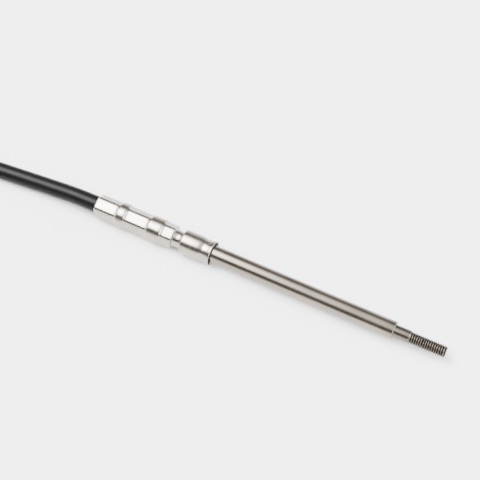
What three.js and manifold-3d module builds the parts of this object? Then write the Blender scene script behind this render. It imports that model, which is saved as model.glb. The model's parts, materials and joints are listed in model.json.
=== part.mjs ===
// Push-pull steering cable of a small boat, with its spare length coiled for storage.
// Millimetres, +Z up, lying on the plane z = 0. The near end lies along X, with its rod towards +X.
// The origin is on that plane, below the middle of the near end.

import * as THREE from 'three';
import { mergeVertices } from 'three/addons/utils/BufferGeometryUtils.js';
import Module from 'manifold-3d';

const wasm = await Module();
wasm.setup();

// Gap between two pieces that touch
const touchGap = 0.3;

// Conduit: plastic jacket over steel strands
const conduitDiameter = 11;
const conduitInsertion = 25;

// Crimped sleeve of the hub, from the conduit's side to the groove
const sleeveWall = 2.4;
const crimpSqueeze = 1.25;
const cornerSqueeze = 0.35;
const crimpFaceTurn = THREE.MathUtils.degToRad(23.5);
const crimpLengths = [14.2, 15.8, 9];
const roundLengths = [6.2, 9.8];
const crimpRamp = 0.8;
const sleeveChamfer = 0.5;
const corePassageDiameter = 6.4;

// Groove that the anchor clip sits in
const grooveWidth = 6;
const neckDiameter = 11;

// Socket of the hub, rolled in behind the tube's ball and flared again to a lip
const collarWall = 0.95;
const collarChamfer = 0.7;
const waistFromGroove = 13;
const creaseFromWaist = 1.8;
const waistRoll = 3.4;
const waistWall = 1;
const lipLength = 7.7;
const lipWall = 0.6;

// Support tube, which swivels in the socket on its flared ball
const ballStep = 1.05;
const ballBack = 4.2;
const ballBackClearance = 1;
const seatDepth = 3;
const tubeDiameter = 11.11;
const tubeShown = 121;
const tubeEndChamfer = 0.45;
const swivelAngle = THREE.MathUtils.degToRad(8);
const swivelClearance = 0.19;

// Push rod with its rolled thread
const rodDiameter = 7.94;
const rodClearance = 0.33;
const rodShown = 9.2;
const threadLength = 23.4;
const threadPitch = 1.411;
const threadDiameter = 7.82;
const threadDepth = 0.72;
const tipChamfer = 0.9;
const travel = 76.2;
const guidedAtFullReach = 35;

// Storage coil: two lanes and two layers of turns, held by three ties
const coilMiddleDiameter = 110;
const tieThickness = 1.2;
const tieWidth = 4.8;
const tieHead = { along: 7, out: 4.4, tall: 6.5 };
const tieTurns = [5, 135, 232].map(THREE.MathUtils.degToRad);

// Places of the coil's centre and of the far end, on the plane
const coilCentre = { x: -479, y: -59.5 };
const farMouthX = -437;

// Faces round each turned piece
const hubSides = 30;
const tubeSides = 24;
const rodSides = 16;
const coilSides = 40;
const conduitSides = 10;
const rowsPerPitch = 4;

// Worked out from the sizes above
const conduitRadius = conduitDiameter / 2;
const socketRadius = conduitRadius + touchGap;
const sleeveRadius = socketRadius + sleeveWall;
const flatRadius = sleeveRadius - crimpSqueeze;
const cornerRadius = sleeveRadius - cornerSqueeze;
const sleeveLength = crimpLengths[0] + roundLengths[0] + crimpLengths[1] + roundLengths[1] + crimpLengths[2];
const collarStart = sleeveLength + grooveWidth;
const waistX = collarStart + waistFromGroove;
const creaseX = waistX + creaseFromWaist;
const lipX = waistX + lipLength;
const tubeRadius = tubeDiameter / 2;
const ballRadius = tubeRadius + ballStep;
const cavityRadius = ballRadius + touchGap;
const ballX = waistX - seatDepth;
const waistBore = Math.sqrt(cavityRadius ** 2 - seatDepth ** 2);
const lipBore = tubeRadius / Math.cos(swivelAngle) + (lipX - ballX) * Math.tan(swivelAngle) + swivelClearance;
const rodRadius = rodDiameter / 2;
const tubeBore = rodRadius + rodClearance;
const tubeEndX = lipX + tubeShown;
const threadStart = tubeEndX + rodShown;
const rodTipX = threadStart + threadLength;
const rodInnerX = tubeEndX - guidedAtFullReach - travel;
const axisHeight = sleeveRadius;
const nearMouthX = -rodTipX / 2;
const coilLift = tieThickness + touchGap;
const coilInner = coilMiddleDiameter / 2 - conduitDiameter;
const coilOuter = coilMiddleDiameter / 2 + conduitDiameter;
const coilTop = coilLift + 2 * conduitDiameter;
const outerLane = coilOuter - conduitRadius;
const farY = coilCentre.y - outerLane;

// Turns a closed or axis-to-axis profile of [x, radius] pairs about the X axis
function turned(profile, sides, startTurn = 0) {
  const points = profile.map(([x, radius]) => new THREE.Vector2(radius, x));
  const geometry = new THREE.LatheGeometry(points, sides, startTurn);
  return geometry.rotateZ(-Math.PI / 2);
}

// Moves each vertex of a piece turned about X to the radius that a rule gives for its place
function reshaped(geometry, rule) {
  const places = geometry.getAttribute('position');
  for (let i = 0; i < places.count; i += 1) {
    const y = places.getY(i);
    const z = places.getZ(i);
    const radius = Math.hypot(y, z);
    if (radius > 0) {
      const grown = rule(places.getX(i), Math.atan2(-y, z), radius) / radius;
      places.setY(i, y * grown);
      places.setZ(i, z * grown);
    }
  }
  return geometry;
}

// Points of a circle's arc, as [x, radius] pairs, between two places on the axis
function arc(centreX, radius, fromX, toX, steps) {
  const from = Math.acos((fromX - centreX) / radius);
  const to = Math.acos((toX - centreX) / radius);
  return Array.from({ length: steps + 1 }, (_, i) => {
    const turn = from + ((to - from) * i) / steps;
    return [centreX + radius * Math.cos(turn), radius * Math.sin(turn)];
  });
}

function toManifold(geometry) {
  const bare = new THREE.BufferGeometry();
  bare.setAttribute('position', geometry.getAttribute('position'));
  bare.setIndex(geometry.index);
  const merged = mergeVertices(bare, 1e-4);
  return new wasm.Manifold(new wasm.Mesh({
    numProp: 3,
    vertProperties: new Float32Array(merged.getAttribute('position').array),
    triVerts: new Uint32Array(merged.index.array),
  }));
}

function fromManifold(solid) {
  const mesh = solid.getMesh();
  const geometry = new THREE.BufferGeometry();
  geometry.setAttribute('position', new THREE.BufferAttribute(new Float32Array(mesh.vertProperties), 3));
  geometry.setIndex(new THREE.BufferAttribute(new Uint32Array(mesh.triVerts), 1));
  geometry.computeVertexNormals();
  return geometry;
}

function material(color, roughness, metalness) {
  return new THREE.MeshStandardMaterial({ color, roughness, metalness });
}

function named(name, geometry, finish) {
  const mesh = new THREE.Mesh(geometry, finish);
  mesh.name = name;
  return mesh;
}

// How far each place along the sleeve is pressed from round to hexagonal, from 0 to 1
function crimped(x) {
  let start = 0;
  let pressed = 0;
  crimpLengths.forEach((length, i) => {
    const end = start + length;
    const into = i === 0 ? 1 : (x - start) / crimpRamp;
    const out = i === crimpLengths.length - 1 ? 1 : (end - x) / crimpRamp;
    const share = THREE.MathUtils.clamp(Math.min(into, out), 0, 1);
    if (x >= start - 1e-6 && x <= end + 1e-6) {
      pressed = Math.max(pressed, share);
    }
    start = end + (roundLengths[i] ?? 0);
  });
  return pressed;
}

// Radius of the pressed hexagon in one direction, its corners left a little round
function hexagonRadius(turn) {
  const sixth = Math.PI / 3;
  const fromFace = THREE.MathUtils.euclideanModulo(turn - crimpFaceTurn + sixth / 2, sixth) - sixth / 2;
  return Math.min(flatRadius / Math.cos(fromFace), cornerRadius);
}

// Hub: sleeve crimped on the conduit, clip groove, ball socket and lip, in one piece of steel
function hubGeometry() {
  const firstRound = crimpLengths[0];
  const secondCrimp = firstRound + roundLengths[0];
  const secondRound = secondCrimp + crimpLengths[1];
  const thirdCrimp = secondRound + roundLengths[1];
  const outside = [
    [0, sleeveRadius - sleeveChamfer],
    [sleeveChamfer, sleeveRadius],
    [firstRound - crimpRamp, sleeveRadius],
    [firstRound, sleeveRadius],
    [secondCrimp, sleeveRadius],
    [secondCrimp + crimpRamp, sleeveRadius],
    [secondRound - crimpRamp, sleeveRadius],
    [secondRound, sleeveRadius],
    [thirdCrimp, sleeveRadius],
    [thirdCrimp + crimpRamp, sleeveRadius],
    [sleeveLength, sleeveRadius],
  ];
  const groove = [
    [sleeveLength, neckDiameter / 2],
    [collarStart, neckDiameter / 2],
  ];
  const collarRadius = cavityRadius + collarWall;
  const waistRadius = waistBore + waistWall;
  const lipRadius = lipBore + lipWall;
  const socket = [
    [collarStart, collarRadius - collarChamfer],
    [collarStart + collarChamfer, collarRadius],
    [creaseX - waistRoll, collarRadius],
    [creaseX - waistRoll / 2, (2 * collarRadius + waistRadius) / 3],
    [creaseX, waistRadius],
    [creaseX + (lipX - creaseX) / 3, waistRadius + (lipRadius - waistRadius) / 4],
    [lipX - lipWall, lipRadius],
    [lipX, lipRadius - lipWall / 3],
    [lipX, lipBore],
  ];
  const cavity = arc(ballX, cavityRadius, waistX, ballX - ballBack - ballBackClearance, 7);
  const bore = [
    [ballX - ballBack - ballBackClearance, corePassageDiameter / 2],
    [conduitInsertion + touchGap, corePassageDiameter / 2],
    [conduitInsertion + touchGap, socketRadius],
    [0, socketRadius],
    outside[0],
  ];
  const profile = [...outside, ...groove, ...socket, ...cavity, ...bore];
  const solid = turned(profile, hubSides, crimpFaceTurn + Math.PI / 6);
  const skin = (socketRadius + flatRadius) / 2;
  return reshaped(solid, (x, turn, radius) => {
    if (x > sleeveLength + 1e-6 || radius < skin) {
      return radius;
    }
    const pressed = crimped(x);
    const chamfered = sleeveRadius - radius;
    return THREE.MathUtils.lerp(radius, hexagonRadius(turn) - chamfered, pressed);
  });
}

// Support tube: drawn steel tube, its inner end flared to a ball
function tubeGeometry() {
  const ballEnd = ballX + Math.sqrt(ballRadius ** 2 - tubeRadius ** 2);
  const ball = arc(ballX, ballRadius, ballX - ballBack, ballEnd, 7);
  return turned([
    [ballX - ballBack, tubeBore],
    ...ball,
    [tubeEndX - tubeEndChamfer, tubeRadius],
    [tubeEndX, tubeRadius - tubeEndChamfer],
    [tubeEndX, tubeBore],
    [ballX - ballBack, tubeBore],
  ], tubeSides);
}

// Depth of the rolled thread's profile, from 0 at the crest to 1 at the root
function threadProfile(x, turn) {
  const turns = (x - threadStart) / threadPitch - turn / (2 * Math.PI);
  const wave = Math.abs(THREE.MathUtils.euclideanModulo(turns, 1) * 2 - 1);
  const runOut = THREE.MathUtils.clamp((x - threadStart) / threadPitch, 0, 1);
  return wave * runOut;
}

// Push rod: ground steel rod with a rolled thread and a chamfered tip
function rodGeometry() {
  const crest = threadDiameter / 2;
  const rows = Math.round((threadLength * rowsPerPitch) / threadPitch);
  const thread = Array.from({ length: rows + 1 }, (_, i) => [threadStart + (threadLength * i) / rows, crest]);
  const solid = turned([
    [rodInnerX, 0],
    [rodInnerX, rodRadius - tubeEndChamfer],
    [rodInnerX + tubeEndChamfer, rodRadius],
    [threadStart - tubeEndChamfer, rodRadius],
    ...thread,
    [rodTipX, 0],
  ], rodSides);
  return reshaped(solid, (x, turn, radius) => {
    if (x < threadStart - 1e-6) {
      return radius;
    }
    const cut = crest - threadDepth * threadProfile(x, turn);
    return Math.min(cut, crest - tipChamfer + (rodTipX - x));
  });
}

// Hub, tube and rod of one end, with the rod pushed out by the given reach
function cableEnd(prefix, reach) {
  const end = new THREE.Group();
  const rod = named(`${prefix}_push_rod`, rodGeometry(), material('#9a8f82', 0.38, 1));
  rod.position.x = reach;
  end.add(
    named(`${prefix}_crimp_hub`, hubGeometry(), material('#d8d4cc', 0.32, 1)),
    named(`${prefix}_support_tube`, tubeGeometry(), material('#c4bbac', 0.3, 1)),
    rod,
  );
  return end;
}

// Ring that the stored turns of conduit fill
function coilGeometry() {
  const round = conduitRadius * 0.7;
  const steps = 3;
  const corners = [
    [coilOuter - round, coilLift + round, -90],
    [coilOuter - round, coilTop - round, 0],
    [coilInner + round, coilTop - round, 90],
    [coilInner + round, coilLift + round, 180],
  ];
  const outline = corners.flatMap(([radius, height, from]) => Array.from({ length: steps + 1 }, (_, i) => {
    const turn = THREE.MathUtils.degToRad(from + (90 * i) / steps);
    return new THREE.Vector2(radius + round * Math.cos(turn), height + round * Math.sin(turn));
  }));
  outline.push(outline[0].clone());
  return new THREE.LatheGeometry(outline, coilSides)
    .rotateX(Math.PI / 2)
    .translate(coilCentre.x, coilCentre.y, 0);
}

// Conduit along a route, cut where it runs into the stored turns
function conduitGeometry(route, steps, turnsToMeet) {
  const section = new THREE.Shape(Array.from({ length: conduitSides }, (_, i) => {
    const turn = ((i + 0.5) * 2 * Math.PI) / conduitSides;
    return new THREE.Vector2(conduitRadius * Math.cos(turn), conduitRadius * Math.sin(turn));
  }));
  const path = new THREE.CatmullRomCurve3(route.map((place) => new THREE.Vector3(...place)));
  const tube = new THREE.ExtrudeGeometry(section, { steps, bevelEnabled: false, extrudePath: path });
  return fromManifold(toManifold(tube).subtract(turnsToMeet));
}

// Ring of the stored turns, grown by the gap that the conduit's ends keep to it
function coilClearance() {
  const outline = [
    [coilInner - touchGap, coilLift - touchGap],
    [coilOuter + touchGap, coilLift - touchGap],
    [coilOuter + touchGap, coilTop + touchGap],
    [coilInner - touchGap, coilTop + touchGap],
    [coilInner - touchGap, coilLift - touchGap],
  ].map(([radius, height]) => new THREE.Vector2(radius, height));
  const ring = new THREE.LatheGeometry(outline, coilSides * 2)
    .rotateX(Math.PI / 2)
    .translate(coilCentre.x, coilCentre.y, 0);
  return toManifold(ring);
}

function roundedOutline(shape, left, bottom, right, top, round) {
  shape.moveTo(left + round, bottom);
  shape.lineTo(right - round, bottom);
  shape.absarc(right - round, bottom + round, round, -Math.PI / 2, 0);
  shape.lineTo(right, top - round);
  shape.absarc(right - round, top - round, round, 0, Math.PI / 2);
  shape.lineTo(left + round, top);
  shape.absarc(left + round, top - round, round, Math.PI / 2, Math.PI);
  shape.lineTo(left, bottom + round);
  shape.absarc(left + round, bottom + round, round, Math.PI, 1.5 * Math.PI);
  return shape;
}

// Nylon tie round the bundle of turns, with its head on the outside
function tieGeometry(turn) {
  const inner = coilInner - touchGap;
  const outer = coilOuter + touchGap;
  const round = conduitRadius * 0.6;
  const strap = roundedOutline(
    new THREE.Shape(),
    inner - tieThickness, 0, outer + tieThickness, coilTop + touchGap + tieThickness, round + tieThickness,
  );
  strap.holes.push(roundedOutline(new THREE.Path(), inner, tieThickness, outer, coilTop + touchGap, round));
  const band = new THREE.ExtrudeGeometry(strap, { depth: tieWidth, bevelEnabled: false, curveSegments: 3 })
    .translate(0, 0, -tieWidth / 2)
    .rotateX(Math.PI / 2);
  const head = new THREE.BoxGeometry(tieHead.out, tieHead.along, tieHead.tall)
    .translate(outer + tieThickness / 2 + tieHead.out / 2, 0, (coilTop + tieThickness) / 2);
  return fromManifold(toManifold(band).add(toManifold(head)))
    .rotateZ(turn)
    .translate(coilCentre.x, coilCentre.y, 0);
}

// Route of the conduit from the near hub to the top layer of the turns
const runRoute = [
  [nearMouthX + conduitInsertion, 0, axisHeight],
  [nearMouthX + conduitInsertion / 2, 0, axisHeight],
  [nearMouthX, 0, axisHeight],
  [nearMouthX - 16, -0.1, 7.9],
  [nearMouthX - 34, -0.8, 6.9],
  [nearMouthX - 52, -1.8, 6],
  [nearMouthX - 73, -3.4, 5.52],
  [-221, -5.6, 5.52],
  [-256, -7, 5.52],
  [-293, -7, 5.52],
  [-330, -5.4, 5.8],
  [-367, -3, 8],
  [-404, -0.8, 12.6],
  [-441, 0.7, 16.7],
  [coilCentre.x, coilCentre.y + outerLane, coilTop - conduitRadius],
];

// Route of the conduit from the bottom layer of the turns to the far hub
const tailRoute = [
  [coilCentre.x, farY, coilLift + conduitRadius],
  [coilCentre.x + 14, farY, coilLift + conduitRadius],
  [coilCentre.x + 28, farY, 7.6],
  [farMouthX, farY, axisHeight],
  [farMouthX + conduitInsertion / 2, farY, axisHeight],
  [farMouthX + conduitInsertion, farY, axisHeight],
];

const cable = new THREE.Group();

const nearEnd = cableEnd('near', 0);
nearEnd.position.set(nearMouthX, 0, axisHeight);

const farEnd = cableEnd('far', travel);
farEnd.position.set(farMouthX, farY, axisHeight);

const jacket = '#26262a';
const coilSpace = coilClearance();
cable.add(
  nearEnd,
  named('conduit_run', conduitGeometry(runRoute, 20, coilSpace), material(jacket, 0.45, 0)),
  named('conduit_coil', coilGeometry(), material(jacket, 0.45, 0)),
  named('conduit_tail', conduitGeometry(tailRoute, 6, coilSpace), material(jacket, 0.45, 0)),
  farEnd,
);

tieTurns.forEach((turn, i) => {
  cable.add(named(`coil_tie_${i + 1}`, tieGeometry(turn), material('#e6e3da', 0.5, 0)));
});

export default cable;
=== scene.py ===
import json
import math

import bmesh
import bpy
from mathutils import Matrix, Vector


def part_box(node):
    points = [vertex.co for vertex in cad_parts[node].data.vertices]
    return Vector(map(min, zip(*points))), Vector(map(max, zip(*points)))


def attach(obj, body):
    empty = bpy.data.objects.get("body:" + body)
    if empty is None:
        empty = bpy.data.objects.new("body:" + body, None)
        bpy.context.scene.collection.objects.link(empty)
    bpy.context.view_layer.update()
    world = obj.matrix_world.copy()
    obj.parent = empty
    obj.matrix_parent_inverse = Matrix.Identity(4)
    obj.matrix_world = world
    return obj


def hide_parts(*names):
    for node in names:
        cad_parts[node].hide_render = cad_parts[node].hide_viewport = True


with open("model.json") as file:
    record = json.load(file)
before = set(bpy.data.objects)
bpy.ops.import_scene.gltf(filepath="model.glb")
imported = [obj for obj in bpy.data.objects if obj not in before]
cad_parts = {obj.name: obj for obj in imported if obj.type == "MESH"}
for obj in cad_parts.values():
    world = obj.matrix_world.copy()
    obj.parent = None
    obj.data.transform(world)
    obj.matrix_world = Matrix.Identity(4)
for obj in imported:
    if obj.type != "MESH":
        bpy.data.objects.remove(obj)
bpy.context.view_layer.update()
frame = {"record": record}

# The camera looks down on the near end, which runs from upper left to lower right and comes nearer.
# It stands 0.74 m away with a long lens, and the view's left edge cuts the conduit off.
mm = 0.001
image_px = 480
focal_px = 1200
camera_distance = 0.738
camera_elevation = math.radians(56.5)
camera_turn = math.radians(26.64)

# A mark on the near end's axis, and where it shows, to the right of the view's centre and above it
mark_from_ball = Vector((23.0, 0, 0)) * mm
mark_off_centre_px = Vector((-9.0, -21.2))

joints = {joint["name"]: joint for joint in frame["record"]["behaviour"]["joints"]}
near_ball = Vector(joints["near_tube_swivel"]["pos_m"])
far_ball = Vector(joints["far_tube_swivel"]["pos_m"])

look = Vector((
    -math.sin(camera_turn) * math.cos(camera_elevation),
    math.cos(camera_turn) * math.cos(camera_elevation),
    -math.sin(camera_elevation),
))
right = Vector((math.cos(camera_turn), math.sin(camera_turn), 0))
up = right.cross(look)
px_at_mark = camera_distance / focal_px
aim = near_ball + mark_from_ball - (right * mark_off_centre_px.x + up * mark_off_centre_px.y) * px_at_mark

camera = bpy.data.objects.new("camera", bpy.data.cameras.new("camera"))
camera.data.sensor_width = 36
camera.data.sensor_height = 36
camera.data.lens = camera.data.sensor_width * focal_px / image_px
camera.data.clip_start = 0.01
camera.location = aim - look * camera_distance
camera.rotation_euler = Matrix((right, up, -look)).transposed().to_euler()
bpy.context.collection.objects.link(camera)
bpy.context.scene.camera = camera

# Conduit: a black plastic jacket, extruded over a lay of steel strands, and stiff for its size.
# It leaves the near hub, sinks to the floor, and its spare length is wound in two lanes and two layers.
conduit_diameter = 11.0 * mm
hub_to_ball = 71.0 * mm
conduit_insertion = 25.0 * mm
near_mouth = near_ball - Vector((hub_to_ball, 0, 0))
far_mouth = far_ball - Vector((hub_to_ball, 0, 0))
coil_low, coil_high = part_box("conduit_coil")
coil_centre = (coil_low + coil_high) / 2
outer_lane = (coil_high.y - coil_low.y) / 2 - conduit_diameter / 2
inner_lane = outer_lane - conduit_diameter
bottom_layer = coil_low.z + conduit_diameter / 2
top_layer = coil_high.z - conduit_diameter / 2


def on_axis(mouth, along):
    """Place on the axis of the end that starts at a hub's mouth."""
    return mouth + Vector((along, 0, 0))


run_route = [
    on_axis(near_mouth, conduit_insertion),
    on_axis(near_mouth, conduit_insertion / 2),
    near_mouth,
    near_mouth + Vector((-16, -0.1, -0.3)) * mm,
    near_mouth + Vector((-34, -0.8, -1.3)) * mm,
    near_mouth + Vector((-52, -1.8, -2.2)) * mm,
    near_mouth + Vector((-73, -3.4, -2.68)) * mm,
    Vector((-221, -5.6, 5.52)) * mm,
    Vector((-256, -7.0, 5.52)) * mm,
    Vector((-293, -7.0, 5.52)) * mm,
    Vector((-330, -5.4, 5.8)) * mm,
    Vector((-367, -3.0, 8.0)) * mm,
    Vector((-404, -0.8, 12.6)) * mm,
    Vector((-441, 0.7, 16.7)) * mm,
]
tail_route = [
    Vector((coil_centre.x + 14 * mm, far_mouth.y, bottom_layer)),
    Vector((coil_centre.x + 28 * mm, far_mouth.y, 7.6 * mm)),
    far_mouth,
    on_axis(far_mouth, conduit_insertion / 2),
    on_axis(far_mouth, conduit_insertion),
]

# Degrees along the winding between which the conduit changes lane or layer
first_turn = 90
to_inner_lane = (340, 450)
to_bottom_layer = (668, 762)
to_outer_lane = (990, 1100)
last_turn = 1350
coil_step = 10


def eased(turn, span):
    """Share of a change of place that is done at one turn, from 0 to 1."""
    share = min(max((turn - span[0]) / (span[1] - span[0]), 0), 1)
    return share * share * (3 - 2 * share)


def coil_place(turn):
    inward = eased(turn, to_inner_lane) - eased(turn, to_outer_lane)
    lane = outer_lane + (inner_lane - outer_lane) * inward
    layer = top_layer + (bottom_layer - top_layer) * eased(turn, to_bottom_layer)
    angle = math.radians(turn)
    return Vector((
        coil_centre.x + lane * math.cos(angle),
        coil_centre.y + lane * math.sin(angle),
        layer,
    ))


wound = [coil_place(turn) for turn in range(first_turn, last_turn + 1, coil_step)]
route = run_route + wound + tail_route

conduit_curve = bpy.data.curves.new("conduit", "CURVE")
conduit_curve.dimensions = "3D"
conduit_curve.resolution_u = 5
conduit_curve.bevel_depth = conduit_diameter / 2
conduit_curve.bevel_resolution = 9
conduit_curve.use_fill_caps = True
spline = conduit_curve.splines.new("BEZIER")
spline.bezier_points.add(len(route) - 1)
for knot, place in zip(spline.bezier_points, route):
    knot.co = place
    knot.handle_left_type = "AUTO"
    knot.handle_right_type = "AUTO"
conduit = bpy.data.objects.new("conduit", conduit_curve)
bpy.context.collection.objects.link(conduit)


class Value:
    """A node's socket, on which the usual operators add Math nodes."""

    def __init__(self, finish, socket):
        self.finish = finish
        self.socket = socket

    def _math(self, operation, *values):
        return self.finish.node("ShaderNodeMath", {"operation": operation}, dict(enumerate(values)))

    def __add__(self, other):
        return self._math("ADD", self, other)

    def __radd__(self, other):
        return self._math("ADD", other, self)

    def __sub__(self, other):
        return self._math("SUBTRACT", self, other)

    def __rsub__(self, other):
        return self._math("SUBTRACT", other, self)

    def __mul__(self, other):
        return self._math("MULTIPLY", self, other)

    def __rmul__(self, other):
        return self._math("MULTIPLY", other, self)

    def clamped(self):
        return self.finish.node("ShaderNodeClamp", {}, {"Value": self})


class Nodes:
    """A node tree, with short ways to add what the finishes and the world are made of."""

    def __init__(self, tree):
        self.tree = tree

    def node(self, kind, settings, values, output=0):
        node = self.tree.nodes.new(kind)
        for name, setting in settings.items():
            if name == "stops":
                ramp = node.color_ramp.elements
                while len(ramp) < len(setting):
                    ramp.new(0.5)
                for stop, (place, colour) in zip(ramp, setting):
                    stop.position = place
                    stop.color = (*colour, 1)
            else:
                setattr(node, name, setting)
        for name, value in values.items():
            self.put(node.inputs[name], value)
        return Value(self, node.outputs[output])

    def put(self, socket, value):
        """Links a value to a socket, or sets the socket to a plain one."""
        if isinstance(value, Value):
            self.tree.links.new(value.socket, socket)
        else:
            socket.default_value = value

    def place(self, scale=(1, 1, 1), offset=(0, 0, 0)):
        coordinates = self.node("ShaderNodeTexCoord", {}, {}, "Object")
        values = {"Vector": coordinates, "Location": offset, "Scale": scale}
        return self.node("ShaderNodeMapping", {}, values)

    def noise(self, size, detail=3.0, roughness=0.55, **place):
        values = {"Vector": self.place(**place), "Scale": size, "Detail": detail, "Roughness": roughness}
        return self.node("ShaderNodeTexNoise", {}, values)

    def ramp(self, value, *stops):
        return self.node("ShaderNodeValToRGB", {"stops": stops}, {"Fac": value})

    def axes(self, vector):
        """The three parts of a vector."""
        x = self.node("ShaderNodeSeparateXYZ", {}, {"Vector": vector})
        y, z = (Value(self, x.socket.node.outputs[name]) for name in ("Y", "Z"))
        return x, y, z

    def dimmed(self, colour, share):
        return self.node("ShaderNodeVectorMath", {"operation": "SCALE"}, {0: colour, "Scale": share})


class Finish(Nodes):
    """A material, built from nodes that end in one Principled shader."""

    def __init__(self, name):
        self.material = bpy.data.materials.new(name)
        self.material.use_nodes = True
        super().__init__(self.material.node_tree)
        self.shader = self.tree.nodes["Principled BSDF"]

    def bump(self, height, strength, distance):
        values = {"Height": height, "Strength": strength, "Distance": distance}
        self.put(self.shader.inputs["Normal"], self.node("ShaderNodeBump", {}, values))

    def set(self, **values):
        for name, value in values.items():
            self.put(self.shader.inputs[name.replace("_", " ")], value)
        return self.material


# The jacket is satin black, with faint scuffs and a little unevenness from the extruder
jacket = Finish("jacket_black")
scuffs = jacket.noise(900.0, detail=5.0, roughness=0.7)
bloom = jacket.noise(60.0, detail=2.0)
jacket.bump(bloom * 0.7 + scuffs * 0.3, 0.25, 0.0002)
jacket.set(
    Base_Color=jacket.ramp(scuffs, (0.35, (0.0025, 0.0025, 0.0027)), (0.75, (0.0055, 0.0055, 0.0058))),
    Roughness=0.26 + bloom * 0.12,
    Specular_IOR_Level=0.09,
)
conduit_curve.materials.append(jacket.material)

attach(conduit, "root")
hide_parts("conduit_run", "conduit_coil", "conduit_tail")

# Hub: steel turned in one piece, crimped on the conduit by a hexagonal die at three places.
# Behind the clip groove its socket is rolled in over the tube's ball, and its lip is flared again.
# From here on, a piece's own sizes are in mm, from the hub's mouth.
sleeve_radius = 8.2
sleeve_bore = 5.8
sleeve_end = 55.0
flat_radius = 6.95
corner_rounding = 3.4
face_turn = math.radians(23.5)
crimps = ((0, 14.2), (20.4, 36.2), (46.0, sleeve_end))
leaving_ramp = 2.4
biting_ramp = 2.0
groove_radius = 5.5
groove_end = 61.0
collar_radius = 7.85
socket_bore = 6.9
lip_radius = 7.9
lip_bore = 7.0
waist_start = 72.5
core_radius = 3.2

# Where each dent is, in mm from the mouth and degrees from the top, and its width and depth
hub_dents = ((76.2, 67, 0.8, 0.3), (79.3, -4, 0.7, 0.25))
hub_steps = 180


def make_object(name, bm, material, smooth=True):
    mesh = bpy.data.meshes.new(name)
    bmesh.ops.recalc_face_normals(bm, faces=bm.faces)
    if smooth:
        for face in bm.faces:
            face.smooth = True
    bm.to_mesh(mesh)
    bm.free()
    mesh.materials.append(material)
    made = bpy.data.objects.new(name, mesh)
    bpy.context.collection.objects.link(made)
    return made


def spun(profile, steps, closed=False):
    """Spins a profile of (x, radius) pairs, in mm, about the X axis."""
    bm = bmesh.new()
    ring = [bm.verts.new((x * mm, 0, radius * mm)) for x, radius in profile]
    pairs = zip(ring, ring[1:] + ring[:1]) if closed else zip(ring, ring[1:])
    edges = [bm.edges.new(pair) for pair in pairs]
    bmesh.ops.spin(
        bm, geom=ring + edges, cent=(0, 0, 0), axis=(1, 0, 0), angle=math.tau, steps=steps, use_merge=True,
    )
    bmesh.ops.remove_doubles(bm, verts=bm.verts, dist=1e-7)
    return bm


def pressed(bm, rule):
    """Moves each vertex to the radius that a rule gives for its x, its turn from +Z and its radius."""
    for vert in bm.verts:
        radius = math.hypot(vert.co.y, vert.co.z) / mm
        if radius > 0:
            grown = rule(vert.co.x / mm, math.atan2(-vert.co.y, vert.co.z), radius) / radius
            vert.co.y *= grown
            vert.co.z *= grown


def crimp_share(x):
    """How far a place along the sleeve is pressed, from 0 to 1: the die leaves softly and bites hard."""
    share = 0
    for i, (start, end) in enumerate(crimps):
        into = 1 if i == 0 else (x - start) / biting_ramp
        out = 1 if i == len(crimps) - 1 else (end + leaving_ramp - x) / leaving_ramp
        share = max(share, min(into, out, 1))
    return share * share * (3 - 2 * share)


def hexagon_radius(turn):
    """Radius of a hexagon whose corners are rounded, in one direction."""
    sixth = math.pi / 3
    from_face = (turn - face_turn + sixth / 2) % sixth - sixth / 2
    rounding_centre = (flat_radius - corner_rounding) / math.cos(sixth / 2)
    if abs(math.tan(from_face)) * flat_radius < rounding_centre * math.sin(sixth / 2):
        return flat_radius / math.cos(from_face)
    from_corner = sixth / 2 - abs(from_face)
    aside = rounding_centre * math.sin(from_corner)
    return rounding_centre * math.cos(from_corner) + math.sqrt(corner_rounding ** 2 - aside ** 2)


def dent(x, turn, radius, place):
    """Depth of a soft round dent at (x, degrees from +Z, width, depth)."""
    at, degrees, width, depth = place
    aside = (turn - math.radians(degrees)) * radius
    return depth * math.exp(-((x - at) ** 2 + aside ** 2) / width ** 2)


def hub_rule(x, turn, radius):
    """Presses the sleeve's outside to its hexagon and dents the waist and the lip."""
    if x > waist_start and radius > lip_bore:
        return radius - sum(dent(x, turn, radius, place) for place in hub_dents)
    if x > sleeve_end + 0.01 or radius < (sleeve_bore + flat_radius) / 2:
        return radius
    pressed_radius = hexagon_radius(turn) - (sleeve_radius - radius)
    return radius + (pressed_radius - radius) * crimp_share(x)


def even(start, end, count):
    """Values that go in equal steps from start to end, both included."""
    return [start + (end - start) * i / count for i in range(count + 1)]


def arc(centre, radius, start, end, steps):
    """Points of a circle centred on the axis, between two places along it."""
    first, last = (math.acos((x - centre) / radius) for x in (start, end))
    return [
        (centre + radius * math.cos(turn), radius * math.sin(turn))
        for turn in even(first, last, steps)
    ]


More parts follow.
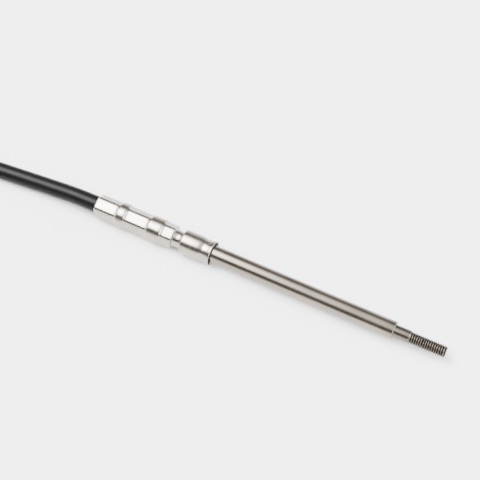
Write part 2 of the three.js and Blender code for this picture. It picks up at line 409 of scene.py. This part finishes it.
ball_place = hub_to_ball / mm
core_start = conduit_insertion / mm + 0.3
core_end = 65.8
sleeve_profile = (
    [(0, sleeve_bore), (0, 7.6), (0.15, 7.95), (0.5, sleeve_radius)]
    + [(x, sleeve_radius) for x in even(1.0, sleeve_end - 0.5, 134)]
    + [(sleeve_end - 0.25, 8.13), (sleeve_end - 0.08, 8.0), (sleeve_end, 7.8)]
)
groove_profile = [
    (sleeve_end + 0.05, groove_radius + 0.12), (sleeve_end + 0.2, groove_radius),
    (groove_end - 0.2, groove_radius), (groove_end - 0.05, groove_radius + 0.12),
]
collar_profile = [
    (groove_end, 7.15), (groove_end + 0.15, 7.45), (groove_end + 0.4, 7.68), (groove_end + 0.7, 7.82),
    (groove_end + 1.1, collar_radius), (72.0, collar_radius),
]
waist_profile = [
    (73.0, 7.8), (74.0, 7.64), (74.8, 7.4), (75.3, 7.24), (75.8, 7.2), (76.3, 7.22),
    (77.2, 7.3), (78.0, 7.38), (78.9, 7.5), (79.8, 7.66), (80.6, 7.84), (81.0, lip_radius),
    (81.4, 7.88), (81.62, 7.78), (81.7, 7.6), (81.66, 7.42), (81.5, 7.32),
]
bore_profile = (
    [(78.0, 6.8), (74.3, 6.3)]
    + arc(ball_place, socket_bore, 74.0, core_end, 12)
    + [(core_end, core_radius), (core_start, core_radius), (core_start, sleeve_bore)]
)
hub_profile = sleeve_profile + groove_profile + collar_profile + waist_profile + bore_profile

hub_steel = Finish("hub_plated_steel")
hub_streaks = hub_steel.noise(700.0, detail=4.0, scale=(1, 0.25, 0.25))
hub_cloud = hub_steel.noise(140.0)
hub_steel.bump(hub_streaks, 0.12, 0.00015)
hub_steel.set(
    Base_Color=hub_steel.ramp(hub_cloud, (0.3, (0.28, 0.249, 0.214)), (0.7, (0.33, 0.295, 0.259))),
    Metallic=1.0,
    Roughness=0.14 + hub_streaks * 0.12,
)


def make_hub(name, mouth, node):
    bm = spun(hub_profile, hub_steps, closed=True)
    pressed(bm, hub_rule)
    bmesh.ops.translate(bm, vec=mouth, verts=bm.verts)
    hub = make_object(name, bm, hub_steel.material)
    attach(hub, "root")
    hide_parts(node)
    return hub


make_hub("near_hub", near_mouth, "near_crimp_hub")
far_hub = make_hub("far_hub", far_mouth, "far_crimp_hub")

# Support tube: drawn and ground stainless tube, with its inner end flared to a ball in the socket.
# Its open end is chamfered, and the push rod slides in its bore.
tube_start = 66.8
tube_end = 202.7
tube_radius = 5.555
tube_bore = 4.3
ball_radius = 6.6
tube_steps = 96

tube_profile = (
    [(tube_start, tube_bore)]
    + arc(ball_place, ball_radius, tube_start, 74.57, 14)
    + [(75.2, tube_radius), (tube_end - 0.4, tube_radius), (tube_end - 0.15, 5.48), (tube_end, 5.3)]
    + [(tube_end, tube_bore + 0.2), (tube_end - 0.2, tube_bore)]
)

tube_steel = Finish("tube_ground_steel")
grinding = tube_steel.noise(260.0, detail=6.0, roughness=0.75, scale=(14, 0.6, 0.6))
tube_cloud = tube_steel.noise(45.0)
tube_steel.bump(grinding, 0.1, 0.0001)
tube_steel.set(
    Base_Color=tube_steel.ramp(tube_cloud, (0.3, (0.165, 0.143, 0.117)), (0.7, (0.215, 0.187, 0.155))),
    Metallic=1.0,
    Roughness=0.14 + grinding * 0.14,
)


def make_tube(name, mouth, node, body):
    bm = spun(tube_profile, tube_steps, closed=True)
    bmesh.ops.translate(bm, vec=mouth, verts=bm.verts)
    tube = make_object(name, bm, tube_steel.material)
    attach(tube, body)
    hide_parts(node)


make_tube("near_tube", near_mouth, "near_support_tube", "near_swivel")
make_tube("far_tube", far_mouth, "far_support_tube", "far_swivel")

# Push rod: ground steel bar, its outer end rolled with a right-hand thread and chamfered.
# The far rod is out by the whole travel, as the core wire between them makes it.
rod_inner = 91.5
rod_radius = 3.97
thread_start = 211.9
thread_length = 23.4
thread_pitch = 1.411
thread_crest = 3.91
thread_depth = 0.72
flank_slope = 1.3
crest_share = 0.15
tip_chamfer = 0.9
rod_tip = thread_start + thread_length
rod_steps = 72
rows_per_pitch = 12
travel = 76.2
thread_dent = (220.6, 13, 0.9, 0.6)

thread_rows = even(thread_start, rod_tip, round(thread_length * rows_per_pitch / thread_pitch))
rod_profile = (
    [(rod_inner, 0), (rod_inner, 3.5), (rod_inner + 0.45, rod_radius), (thread_start - 0.4, rod_radius)]
    + [(x, thread_crest) for x in thread_rows]
    + [(rod_tip, 0)]
)


def rod_rule(x, turn, radius):
    """Cuts a V thread that runs out over one pitch, with a chamfer at the tip."""
    if x < thread_start - 0.01:
        return radius
    pitches = (x - thread_start) / thread_pitch
    wave = abs((pitches - turn / math.tau) % 1 * 2 - 1)
    depth_share = min(max(wave * flank_slope - crest_share, 0), 1)
    run_out = min(max(pitches, 0), 1)
    cut = thread_crest - thread_depth * depth_share * run_out
    return min(cut, thread_crest - tip_chamfer + (rod_tip - x)) - dent(x, turn, radius, thread_dent)


# Painted shade: the base colour is dimmed in the thread's roots, standing in for the shade that falls in the
# grooves. Y wraps at the distance between the rods, so one pattern fits both.
root_shade_radius = 3.3 * mm
unshaded_radius = 3.85 * mm
rod_steel = Finish("rod_steel")
turning = rod_steel.noise(300.0, detail=6.0, roughness=0.75, scale=(16, 0.6, 0.6))
rod_steel.bump(turning, 0.15, 0.0001)
rods_apart = near_mouth.y - far_mouth.y
_, y_place, z_place = rod_steel.axes(rod_steel.place(offset=(0, rods_apart / 2, -near_mouth.z)))
y_wrapped = rod_steel.node("ShaderNodeMath", {"operation": "FLOORED_MODULO"}, {0: y_place, 1: rods_apart})
y_aside = y_wrapped - rods_apart / 2
radius_squared = y_aside * y_aside + z_place * z_place
past_root_shade = radius_squared - root_shade_radius ** 2
on_crest = (past_root_shade * (1 / (unshaded_radius ** 2 - root_shade_radius ** 2))).clamped()
rod_tone = rod_steel.ramp(turning, (0.3, (0.09, 0.077, 0.063)), (0.7, (0.14, 0.121, 0.1)))
rod_steel.set(
    # Painted shade: the rod's colour is dimmed to a fifth in the thread's roots and rises to full on the
    # crests.
    Base_Color=rod_steel.dimmed(rod_tone, on_crest * 0.8 + 0.2),
    Metallic=1.0,
    Roughness=0.18 + turning * 0.14,
)


def make_rod(name, mouth, reach, node, body):
    bm = spun(rod_profile, rod_steps)
    pressed(bm, rod_rule)
    bmesh.ops.translate(bm, vec=on_axis(mouth, reach * mm), verts=bm.verts)
    rod = make_object(name, bm, rod_steel.material)
    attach(rod, body)
    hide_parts(node)


make_rod("near_rod", near_mouth, 0, "near_push_rod", "near_ram")
make_rod("far_rod", far_mouth, travel, "far_push_rod", "far_ram")

# Ties: natural nylon straps that hold the stored turns, each pulled tight through its own head.
# Their outer side is toothed, and their loose ends are cut off just above the head.
tie_thickness = 1.2
tie_half_width = 2.4
tie_gap = 0.3
tie_corner = 3.3
tooth_step = 0.9
tooth_depth = 0.22
tie_turns = (5, 135, 232)
strap_section = (
    (0, -2.1), (0.3, -tie_half_width), (0.85, -tie_half_width), (tie_thickness, -2.0),
    (tie_thickness, 2.0), (0.85, tie_half_width), (0.3, tie_half_width), (0, 2.1),
)

# The head, the loose end above it and the stub below: their distance out, rise, size and rounding
tie_blocks = (
    (2.8, 0, (4.4, 7.0, 6.5), 0.7),
    (2.9, 3.6, (1.2, 4.4, 1.6), 0.2),
    (2.9, -3.4, (2.4, 5.2, 0.6), 0.2),
)

nylon = Finish("tie_nylon")
nylon_cloud = nylon.noise(400.0)
nylon.bump(nylon_cloud, 0.1, 0.0001)
nylon.set(
    Base_Color=nylon.ramp(nylon_cloud, (0.3, (0.74, 0.72, 0.65)), (0.7, (0.8, 0.78, 0.72))),
    Roughness=0.4 + nylon_cloud * 0.1,
    Subsurface_Weight=0.1,
)


def strap_line(low, high):
    """Stations round a rounded rectangle between two (radius, height) corners, each with its way out."""
    stations = []
    middles = (
        (high[0] - tie_corner, low[1] + tie_corner, -90),
        (high[0] - tie_corner, high[1] - tie_corner, 0),
        (low[0] + tie_corner, high[1] - tie_corner, 90),
        (low[0] + tie_corner, low[1] + tie_corner, 180),
    )
    for i, (radius, height, start) in enumerate(middles):
        for degrees in even(start, start + 90, 6):
            out = Vector((math.cos(math.radians(degrees)), math.sin(math.radians(degrees))))
            stations.append((Vector((radius, height)) + out * tie_corner, out))
        following = middles[(i + 1) % 4]
        end = Vector(following[:2]) + out * tie_corner
        run = end - stations[-1][0]
        count = round(run.length / tooth_step)
        stations += [(stations[-1][0] + run * (k / count), out) for k in range(1, count)]
    return stations


def add_block(bm, centre, size, rounding):
    """Adds a block with rounded edges."""
    made = bmesh.ops.create_cube(bm, size=1, matrix=Matrix.Translation(centre) @ Matrix.Diagonal((*size, 1)))
    edges = {edge for vert in made["verts"] for edge in vert.link_edges}
    bmesh.ops.bevel(bm, geom=list(edges), offset=rounding, segments=3, affect="EDGES")


def make_tie(node, degrees):
    half = (coil_high.x - coil_low.x) / 2 / mm
    low = (half - 2 * conduit_diameter / mm - tie_gap, tie_thickness)
    high = (half + tie_gap, coil_high.z / mm + tie_gap)
    bm = bmesh.new()
    rings = []
    for i, (place, out) in enumerate(strap_line(low, high)):
        tooth = tooth_depth * (i % 2)
        ring = []
        for raised, across_strap in strap_section:
            point = place + out * (raised - tooth if raised == tie_thickness else raised)
            ring.append(bm.verts.new((point.x, across_strap, point.y)))
        rings.append([bm.edges.new(pair) for pair in zip(ring, ring[1:] + ring[:1])])
    for ring, following in zip(rings, rings[1:] + rings[:1]):
        bmesh.ops.bridge_loops(bm, edges=ring + following)
    head_height = (coil_high.z / mm + tie_thickness) / 2
    for from_strap, rise, size, rounding in tie_blocks:
        add_block(bm, (high[0] + from_strap, 0, head_height + rise), size, rounding)
    bmesh.ops.scale(bm, vec=(mm, mm, mm), verts=bm.verts)
    bmesh.ops.rotate(bm, matrix=Matrix.Rotation(math.radians(degrees), 3, "Z"), verts=bm.verts)
    bmesh.ops.translate(bm, vec=(coil_centre.x, coil_centre.y, 0), verts=bm.verts)
    tie = make_object(node.replace("coil_tie", "tie"), bm, nylon.material, smooth=False)
    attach(tie, "root")
    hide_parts(node)
    return tie


ties = [make_tie(f"coil_tie_{i + 1}", degrees) for i, degrees in enumerate(tie_turns)]

# Floor and light: a plain white floor in a white room, under one long soft panel.
# A black flag on each side of the panel draws the dark lines along the metal.
floor_half_side = 6.0
floor_mesh = bpy.data.meshes.new("floor")
floor_bm = bmesh.new()
bmesh.ops.create_grid(floor_bm, x_segments=1, y_segments=1, size=floor_half_side)
floor_bm.to_mesh(floor_mesh)
floor_bm.free()
floor = bpy.data.objects.new("floor", floor_mesh)
bpy.context.collection.objects.link(floor)
floor_paint = Finish("floor_white")
floor_paint.set(Base_Color=(0.93, 0.93, 0.93, 1), Roughness=0.9, Specular_IOR_Level=0.1)
floor_mesh.materials.append(floor_paint.material)

# Brightness of the room by degrees from straight up, positive towards the camera's side
room = (
    (-90, 2.2), (-72, 1.5), (-60, 0.6), (-52, 0.36), (-44, 0.42), (-34, 1.0), (-20, 2.2), (0, 3.4),
    (20, 3.2), (34, 1.8), (42, 0.7), (50, 0.26), (62, 0.2), (70, 0.3), (80, 1.2), (90, 3.2),
)
# Brightness of the panel by the same degrees, and its share from the conduit's end to the rod's end
panel = ((-28, 0), (-14, 17), (0, 36), (10, 44), (22, 38), (34, 14), (42, 0))
panel_ends = (
    (-0.62, 0), (-0.5, 0.9), (-0.4, 1.0), (-0.32, 0.85), (-0.24, 0.3), (-0.16, 0.1), (0, 0.06), (0.1, 0),
)
# Brightness of the two bright walls beyond the cable's ends
end_walls = ((-0.95, 6), (-0.85, 0), (0.55, 0), (0.7, 9))

world = bpy.data.worlds.new("studio")
world.use_nodes = True
studio = Nodes(world.node_tree)
along, across, upward = studio.axes(studio.node("ShaderNodeTexCoord", {}, {}, "Generated"))
from_zenith = studio.node("ShaderNodeMath", {"operation": "ARCTAN2"}, {0: 0 - across, 1: upward})
turn_share = from_zenith * (1 / math.tau) + 0.5
end_share = along * 0.5 + 0.5


def brightness(share, span, stops):
    """Value that goes through the stops, whose places lie between -span and span."""
    peak = max(level for _, level in stops)
    scaled = [((place / span + 1) / 2, (level / peak,) * 3) for place, level in stops]
    return studio.ramp(share, *scaled) * peak


background = world.node_tree.nodes["Background"]
background.inputs["Color"].default_value = (1, 1, 1, 1)
lit_panel = brightness(turn_share, 180, panel) * brightness(end_share, 1, panel_ends)
lit_room = brightness(turn_share, 180, room) + lit_panel + brightness(end_share, 1, end_walls)
studio.put(background.inputs["Strength"], lit_room)
bpy.context.scene.world = world
